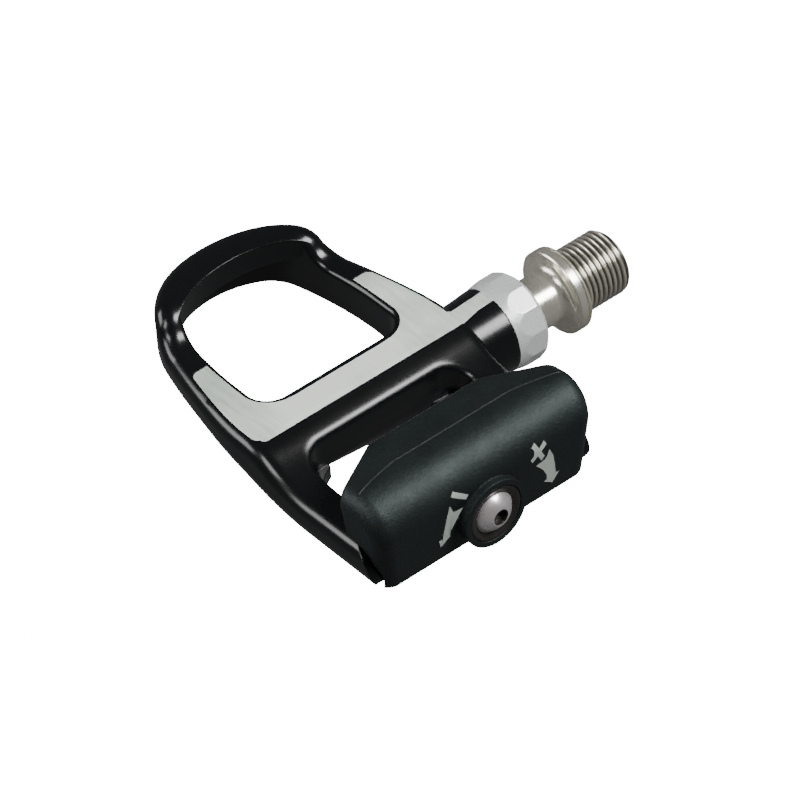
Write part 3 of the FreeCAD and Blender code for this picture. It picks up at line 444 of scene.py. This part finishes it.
def metal(name, colour, pale, roughness, stretch=(1, 1, 1), scale=900, strength=0.15,
          metallic=1.0):
    """Bare or plated metal with turning or brushing marks along one direction."""
    material, tree, shader = new_material(name)
    marks = noise(tree, scale, detail=4, stretch=stretch)
    cloud = noise(tree, 220)
    tree.links.new(mix_colour(tree, cloud, colour, pale), shader.inputs["Base Color"])
    shader.inputs["Metallic"].default_value = metallic
    tree.links.new(spread(tree, marks, roughness * 0.75, roughness * 1.25),
                   shader.inputs["Roughness"])
    bump(tree, shader, marks, strength, 0.01 * MM)
    return material


def turned_steel():
    """Polished steel with fine rings round the axle, with painted shade that darkens the roots of
    the crank thread.
    """
    root_radius = 6.5 * MM
    unshaded_radius = 7.05 * MM
    thread_start = 0.05 * MM
    thread_end = THREAD_LENGTH - 0.3 * MM
    material, tree, shader = new_material("axle_steel")
    x, y, z = object_axes(tree)
    # Painted shade: the thread's roots take a dark colour, which fades out towards the crests
    painted_root_shade = times(tree, spread(tree, distance(tree, y, z), 1, 0, root_radius, unshaded_radius),
                 within(tree, x, thread_start, thread_end))
    rings = noise(tree, 260, stretch=(14, 1, 1))
    cloud = noise(tree, 150)
    unshaded_steel = mix_colour(tree, cloud, (0.72, 0.69, 0.59, 1), (0.91, 0.88, 0.78, 1))
    tree.links.new(mix_colour(tree, painted_root_shade, unshaded_steel, (0.10, 0.095, 0.08, 1)),
                   shader.inputs["Base Color"])
    shader.inputs["Metallic"].default_value = 0.78
    tree.links.new(spread(tree, rings, 0.18, 0.27), shader.inputs["Roughness"])
    bump(tree, shader, rings, 0.03, 0.01 * MM, 0.15 * MM)
    return material


def plated_screw():
    """Bright plate on the screw's head, with painted shade: its socket and the cup round it are
    coloured dark.
    """
    socket_radius = 1.78 * MM
    head_radius = 4.5 * MM
    material, tree, shader = new_material("screw_chrome")
    x, _, z = object_axes(tree)
    off_axis = distance(tree, minus(tree, x, MID_X), minus(tree, z, SCREW_Z))
    head = within(tree, off_axis, socket_radius, head_radius)
    cloud = noise(tree, 400)
    bright = mix_colour(tree, cloud, (0.76, 0.72, 0.72, 1), (0.90, 0.86, 0.86, 1))
    # Painted shade: the socket and the cup round the head take this dark colour
    painted_shade_dark = mix_colour(tree, cloud, (0.05, 0.048, 0.045, 1), (0.09, 0.085, 0.08, 1))
    tree.links.new(mix_colour(tree, head, painted_shade_dark, bright), shader.inputs["Base Color"])
    shader.inputs["Metallic"].default_value = 0.75
    tree.links.new(spread(tree, cloud, 0.26, 0.36), shader.inputs["Roughness"])
    bump(tree, shader, cloud, 0.02, 0.01 * MM, 0.12 * MM)
    return material


def plain_print(name, colour, pale):
    """A thin flecked coat without relief."""
    material, tree, shader = new_material(name)
    flecks = noise(tree, 2500)
    tree.links.new(mix_colour(tree, flecks, colour, pale), shader.inputs["Base Color"])
    tree.links.new(spread(tree, flecks, 0.45, 0.6), shader.inputs["Roughness"])
    return material


materials = {
    "body_paint": painted_body(),
    "claw_plastic": grained_plastic(
        "claw_plastic", (0.004, 0.0055, 0.0055, 1), (0.008, 0.0105, 0.0105, 1), 0.53),
    "seal_rubber": grained_plastic(
        "seal_rubber", (0.012, 0.012, 0.012, 1), (0.02, 0.02, 0.02, 1), 0.65),
    "cage_plastic": grained_plastic(
        "cage_plastic", (0.5, 0.45, 0.34, 1), (0.58, 0.53, 0.42, 1), 0.5),
    "axle_steel": turned_steel(),
    "bare_aluminium": metal(
        "bare_aluminium", (0.86, 0.91, 0.88, 1), (0.95, 0.99, 0.96, 1), 0.34,
        scale=2500, strength=0.02, metallic=0.45),
    "bearing_steel": metal(
        "bearing_steel", (0.6, 0.6, 0.61, 1), (0.7, 0.7, 0.71, 1), 0.16, stretch=(30, 1, 1)),
    "cage_brass": metal("cage_brass", (0.66, 0.48, 0.2, 1), (0.76, 0.58, 0.3, 1), 0.3),
    "spring_steel": metal("spring_steel", (0.4, 0.4, 0.41, 1), (0.52, 0.52, 0.53, 1), 0.3),
    "screw_chrome": plated_screw(),
}
sign_print = plain_print("sign_print", (0.42, 0.48, 0.44, 1), (0.54, 0.60, 0.56, 1))
parting_plastic = plain_print(
    "parting_plastic", (0.006, 0.008, 0.008, 1), (0.012, 0.014, 0.014, 1))

for subpart in frame["record"]["subparts"]:
    mesh = nodes[subpart["node"]].data
    mesh.materials.clear()
    mesh.materials.append(materials[subpart["material_slot"]])


# Axle with its real thread

def make_axle():
    """The turned axle of the part, with the thread cut into its crank end."""
    steps = 96
    thread_rows = 140
    fillet_rows = 10
    flange = 9.3 * MM
    flange_end = -2.9 * MM
    bevel = 0.3 * MM
    neck = 5.7 * MM
    fillet = 2.4 * MM
    rings = [plain_ring(THREAD_LENGTH, THREAD_RADIUS - THREAD_CHAMFER)]
    for k in range(thread_rows + 1):
        x = THREAD_LENGTH * (1 - k / thread_rows)
        limit = THREAD_RADIUS - THREAD_CHAMFER + (THREAD_LENGTH - x)
        rings.append(thread_ring(x, limit))
    # The flange: its rounded crank edge, its groove and its bevelled inner edge
    rings += [plain_ring(0, flange - 0.25 * MM), plain_ring(-0.12 * MM, flange - 0.06 * MM)]
    rings += profile_rings(FLANGE_GROOVE)
    rings += [plain_ring(flange_end + bevel, flange), plain_ring(flange_end, flange - bevel)]
    for k in range(fillet_rows + 1):
        turn = math.pi / 2 * k / fillet_rows
        rings.append(plain_ring(flange_end - fillet * (1 - math.cos(turn)),
                                neck + fillet * (1 - math.sin(turn))))
    rings += profile_rings(INNER_AXLE)
    verts, faces = revolve_about_x(rings, steps)
    axle = mesh_object("axle_threaded", verts, faces)
    axle.data.materials.append(materials["axle_steel"])
    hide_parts("axle")
    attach(axle, "axle")


make_axle()


# Tension screw with its domed head, socket and thread

def make_screw():
    """A button-head screw along the claw's hole, turned about X and then laid along -Y."""
    steps = 72
    dome_rows = 12
    thread_rows = 150
    seat = 42.35 * MM
    tip = 28.6 * MM
    head_radius = 4.4 * MM
    head_height = 2.4 * MM
    socket_depth = 1.6 * MM
    floor_half_width = 1.45 * MM
    mouth_half_width = 1.5 * MM
    mouth_drop = 0.12 * MM
    socket_corner = 1.75 * MM
    socket_rim = 1.95 * MM
    shank = 1.6 * MM
    plain_length = 1.5 * MM
    thread_start = seat - 1.6 * MM
    pitch = 0.7 * MM
    depth = 0.36 * MM
    dome_radius = (head_radius ** 2 + head_height ** 2) / (2 * head_height)
    dome_centre = seat + head_height - dome_radius

    def dome(radius):
        return dome_centre + math.sqrt(dome_radius ** 2 - radius ** 2)

    def hexagon(x, half_width):
        sixth = math.pi / 3
        return lambda angle: (x, half_width / math.cos(angle % sixth - sixth / 2))

    def thread(x):
        def ring(angle):
            turn = (x / pitch - angle / FULL_TURN) % 1.0
            return x, shank - depth * (1 - abs(turn - 0.5) * 2)
        return ring

    floor = seat + head_height - socket_depth
    rings = [hexagon(floor, floor_half_width),
             hexagon(dome(socket_corner) - mouth_drop, mouth_half_width),
             plain_ring(dome(socket_rim), socket_rim)]
    for k in range(1, dome_rows + 1):
        radius = socket_rim + (head_radius - socket_rim) * k / dome_rows
        rings.append(plain_ring(dome(radius), radius))
    rings += [plain_ring(seat, head_radius), plain_ring(seat, shank),
              plain_ring(seat - plain_length, shank)]
    for k in range(thread_rows + 1):
        rings.append(thread(thread_start + (tip - thread_start) * k / thread_rows))
    verts, faces = revolve_about_x(rings, steps)
    verts = [(MID_X + y, -x, SCREW_Z + z) for x, y, z in verts]
    screw = mesh_object("tension_screw_domed", verts, faces)
    screw.data.materials.append(materials["screw_chrome"])
    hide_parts("tension_screw")
    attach(screw, "tension_screw")


make_screw()


# Claw springs, wound from wire: a coil with its tang, and a straight leg

def make_spring(name, side):
    """A torsion spring on the claw's pin, on the crank's side (1) or the outer side (-1)."""
    coil_rows = 216
    tang_rows = 4
    leg_rows = 24
    hinge = Vector((MID_X, -31.8 * MM, -2.6 * MM))
    wire = 0.8 * MM
    coil_radius = 3.6 * MM
    pitch = 1.72 * MM
    turns = 4.5
    leg_x = 8.55 * MM * side
    leg_top = 9.4 * MM
    coil_end = leg_x + pitch * turns * side
    tang_end = 22.1 * MM * side
    overlap = 0.35 * MM * side
    along_x = Vector((1, 0, 0))

    coil_path = []
    for k in range(coil_rows + 1):
        turn = turns * k / coil_rows
        angle = FULL_TURN * turn
        outward = Vector((0, -math.cos(angle), -math.sin(angle)))
        ahead = Vector((side * pitch / FULL_TURN, coil_radius * math.sin(angle),
                        -coil_radius * math.cos(angle))).normalized()
        centre = hinge + outward * coil_radius + along_x * (leg_x + pitch * turn * side)
        coil_path.append((centre, ahead, outward))
    verts, faces = sweep_tube(coil_path, wire)
    tang_path = []
    for k in range(tang_rows + 1):
        across = coil_end - overlap + (tang_end - coil_end + overlap) * k / tang_rows
        centre = hinge + Vector((across, coil_radius, 0))
        tang_path.append((centre, along_x * side, Vector((0, 1, 0))))
    tang_verts, tang_faces = sweep_tube(tang_path, wire)
    faces += [tuple(len(verts) + index for index in face) for face in tang_faces]
    spring = mesh_object(name + "_coil", verts + tang_verts, faces)

    leg_path = []
    for k in range(leg_rows + 1):
        centre = hinge + Vector((leg_x, -coil_radius, leg_top * k / leg_rows))
        leg_path.append((centre, Vector((0, 0, 1)), along_x))
    leg = mesh_object(name + "_leg", *sweep_tube(leg_path, wire))

    for piece in (spring, leg):
        piece.data.materials.append(materials["spring_steel"])
        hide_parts(name)
    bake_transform(spring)
    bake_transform(leg)


make_spring("claw_spring_inboard", 1)
make_spring("claw_spring_outboard", -1)


# Signs and parting line on the claw

BEHIND_CLAW = -60 * MM
ABOVE_CLAW = 40 * MM
SIGN_LIFT = 0.04 * MM
SIGN_WIDTH = 1.15

claw_mesh = nodes["rear_claw"].data
claw_tree = BVHTree.FromPolygons([vertex.co for vertex in claw_mesh.vertices],
                                 [polygon.vertices for polygon in claw_mesh.polygons])


def on_claw(start, direction, lift):
    """The claw's surface met from a point, lifted off it a little."""
    spot, normal, _, _ = claw_tree.ray_cast(Vector(start), Vector(direction))
    if normal.dot(Vector(direction)) > 0:
        normal = -normal
    return spot + normal * lift


def bar(start, end, width):
    """The outline of a straight bar, from one end to the other."""
    along = (Vector(end) - Vector(start)).normalized()
    side = Vector((-along.y, along.x)) * (width / 2)
    return [Vector(start) + side, Vector(end) + side, Vector(end) - side, Vector(start) - side]


def cross(centre, arm, other_arm, width):
    """The outline of a plus sign: two bars across each other."""
    corners = []
    centre = Vector(centre)
    arms = [Vector(arm), Vector(other_arm), -Vector(arm), -Vector(other_arm)]
    for k, reach in enumerate(arms):
        side = arms[(k + 1) % 4].normalized() * (width / 2)
        corners += [centre + reach - side, centre + reach + side,
                    centre + reach.normalized() * (width / 2) + side]
    return corners


def print_sign(name, outline):
    """A printed sign on the claw's back, outlined in millimetres across and up from the middle."""
    flat = bmesh.new()
    corners = [flat.verts.new((MID_X + x * MM, 0, z * MM)) for x, z in outline]
    flat.faces.new(corners)
    bmesh.ops.triangulate(flat, faces=flat.faces[:])
    bmesh.ops.subdivide_edges(flat, edges=flat.edges[:], cuts=5, use_grid_fill=True)
    for vertex in flat.verts:
        vertex.co = on_claw((vertex.co.x, BEHIND_CLAW, vertex.co.z), (0, 1, 0), SIGN_LIFT)
    flat.normal_update()
    mesh = bpy.data.meshes.new(name)
    flat.to_mesh(mesh)
    flat.free()
    sign = bpy.data.objects.new(name, mesh)
    bpy.context.collection.objects.link(sign)
    mesh.materials.append(sign_print)
    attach(sign, "claw")


print_sign("sign_minus", bar((-9.05, 10.75), (-5.6, 8.2), SIGN_WIDTH))
print_sign("sign_plus", cross((12.7, 8.35), (1.85, 1.45), (-1.1, 2.3), SIGN_WIDTH))
print_sign("arrow_minus", [
    (-10.05, 8.65), (-10.75, 6.15), (-11.3, 2.85), (-11.65, 0.45), (-12.75, 0.55),
    (-12.25, -1.55), (-9.85, 0.05), (-10.25, 0.65), (-9.35, 2.05), (-8.05, 3.95),
    (-6.65, 6.05), (-9.15, 6.35)])
print_sign("arrow_plus", [
    (15.4, 7.6), (14.95, 6.2), (14.3, 5.3), (12.0, 5.0), (13.95, 2.6), (14.9, 0.6),
    (15.0, -0.6), (14.2, -0.9), (16.4, -2.5), (17.5, -1.2), (18.1, -0.5), (17.1, 0.0),
    (16.9, 2.8), (16.4, 5.4)])


def make_parting_line():
    """The fine raised line that the mould leaves along the claw's top."""
    rows = 120
    half_length = 25.6
    bend = 14.5
    bend_slope = 0.16
    bend_curve = 0.009
    half_width = 0.15 * MM
    foot = -0.01 * MM
    crest = 0.09 * MM
    down = (0, 0, -1)
    verts = []
    faces = []
    for k in range(rows + 1):
        across = half_length * (2 * k / rows - 1)
        past = max(abs(across) - bend, 0.0)
        x = MID_X + across * MM
        y = -(30.3 * MM + (bend_slope * past + bend_curve * past * past) * MM)
        verts += [on_claw((x, y - half_width, ABOVE_CLAW), down, foot),
                  on_claw((x, y, ABOVE_CLAW), down, crest),
                  on_claw((x, y + half_width, ABOVE_CLAW), down, foot)]
        if k:
            a = 3 * k
            faces += [(a - 3, a, a + 1, a - 2), (a - 2, a + 1, a + 2, a - 1)]
    line = mesh_object("claw_parting_line", verts, faces, smooth_angle=60)
    line.data.materials.append(parting_plastic)
    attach(line, "claw")


make_parting_line()


# Studio

def pale_stage(name, verts, faces):
    """A pale floor or backdrop that the camera sees, and that doesn't light the part."""
    obj = mesh_object(name, verts, faces)
    material, tree, shader = new_material(name)
    fibres = noise(tree, 40)
    tone = mix_colour(tree, fibres, (0.95, 0.95, 0.95, 1), (1, 1, 1, 1))
    tree.links.new(tone, shader.inputs["Base Color"])
    tree.links.new(tone, shader.inputs["Emission Color"])
    shader.inputs["Emission Strength"].default_value = 20.0
    shader.inputs["Roughness"].default_value = 0.9
    obj.data.materials.append(material)
    obj.visible_diffuse = False
    obj.visible_glossy = False
    obj.visible_shadow = False


def make_studio():
    """A pale floor well below the pedal, a pale backdrop round it, and a dim room."""
    size = 6.0
    drop = -0.25
    tall = 8.0
    room_below = 0.14
    room_above = 0.07
    corners = [(-size, -size, drop), (size, -size, drop), (size, size, drop), (-size, size, drop)]
    pale_stage("floor", corners, [(0, 1, 2, 3)])
    top = [(x, y, tall) for x, y, _ in corners]
    walls = [(0, 1, 5, 4), (1, 2, 6, 5), (2, 3, 7, 6), (3, 0, 4, 7), (4, 5, 6, 7)]
    pale_stage("backdrop", corners + top, walls)

    world = bpy.data.worlds.new("studio")
    world.use_nodes = True
    tree = world.node_tree
    direction = add_node(tree, "ShaderNodeTexCoord")
    height = add_node(tree, "ShaderNodeSeparateXYZ", {"Vector": direction.outputs["Generated"]})
    shade = spread(tree, height.outputs["Z"], room_below, room_above, -0.3, 0.3)
    background = tree.nodes["Background"]
    background.inputs["Color"].default_value = (1, 1, 1, 1)
    tree.links.new(shade, background.inputs["Strength"])
    bpy.context.scene.world = world


def soft_box(name, direction, away, width, height, radiance):
    """An area light on the part from a direction, given by how bright its face is."""
    light = bpy.data.lights.new(name, "AREA")
    light.shape = "RECTANGLE"
    light.size = width
    light.size_y = height
    light.energy = radiance * math.pi * width * height
    obj = bpy.data.objects.new(name, light)
    bpy.context.collection.objects.link(obj)
    aim = Vector((MID_X, 0, 0))
    spot = aim + Vector(direction).normalized() * away
    obj.location = spot
    obj.rotation_euler = (aim - spot).to_track_quat("-Z", "Y").to_euler()


make_studio()
soft_box("key_box", (0.45, -0.50, 0.72), away=0.8, width=0.30, height=0.30, radiance=26.0)
soft_box("rear_box", (-0.64, 0.60, 0.43), away=0.8, width=0.5, height=0.3, radiance=7.0)
soft_box("side_box", (-0.75, -0.10, 0.65), away=0.9, width=0.25, height=0.4, radiance=9.0)


# Camera, set by a fit to the photograph

CAMERA_AZIMUTH = math.radians(-37.075)
CAMERA_ELEVATION = math.radians(41.761)
CAMERA_ROLL = math.radians(-4.416)
CAMERA_DISTANCE = 1.5108
CAMERA_AIM = Vector((-0.04156, 0.00199, -0.00603))
CAMERA_LENS = 341.3
CAMERA_SENSOR = 36


def make_camera():
    flat = math.cos(CAMERA_ELEVATION)
    back = Vector((math.sin(CAMERA_AZIMUTH) * flat, -math.cos(CAMERA_AZIMUTH) * flat,
                   math.sin(CAMERA_ELEVATION)))
    level = Vector((math.cos(CAMERA_AZIMUTH), math.sin(CAMERA_AZIMUTH), 0))
    upright = back.cross(level)
    right = level * math.cos(CAMERA_ROLL) + upright * math.sin(CAMERA_ROLL)
    up = upright * math.cos(CAMERA_ROLL) - level * math.sin(CAMERA_ROLL)
    data = bpy.data.cameras.new("camera")
    data.sensor_width = CAMERA_SENSOR
    data.lens = CAMERA_LENS
    data.clip_end = 50
    camera = bpy.data.objects.new("camera", data)
    bpy.context.collection.objects.link(camera)
    turn = Matrix((right, up, back)).transposed()
    camera.matrix_world = Matrix.Translation(CAMERA_AIM + back * CAMERA_DISTANCE) @ turn.to_4x4()
    bpy.context.scene.camera = camera


make_camera()
